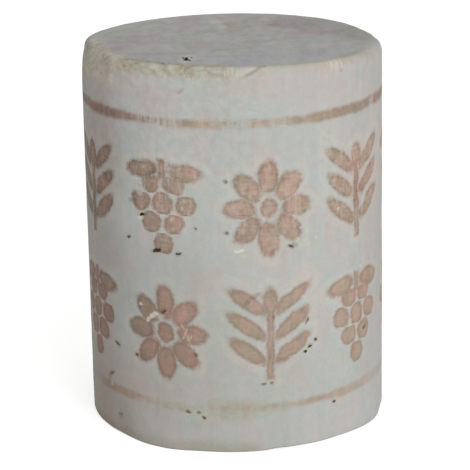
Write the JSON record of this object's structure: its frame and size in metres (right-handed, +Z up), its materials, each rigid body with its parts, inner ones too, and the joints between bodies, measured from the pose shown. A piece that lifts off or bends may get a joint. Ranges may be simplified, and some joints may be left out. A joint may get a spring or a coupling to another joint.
{
  "type": "cork stopper",
  "caption": "Straight one-piece cork stopper with a worn rim and open pores; it stands on its sawn base and presses into a bottle's neck to close it.",
  "frame": {"origin": "centre of the base, on the cork's axis", "axes": "+Z up the cork's axis towards the top end, -Y towards the front, where the rim is crumbled"},
  "size_m": [0.03, 0.03, 0.0387],
  "materials": {
    "cork": "matt greyed cork under thin pale paint, with worn red-brown print"
  },
  "bodies": {
    "root": {"stopper": "cork"}
  },
  "joints": []
}
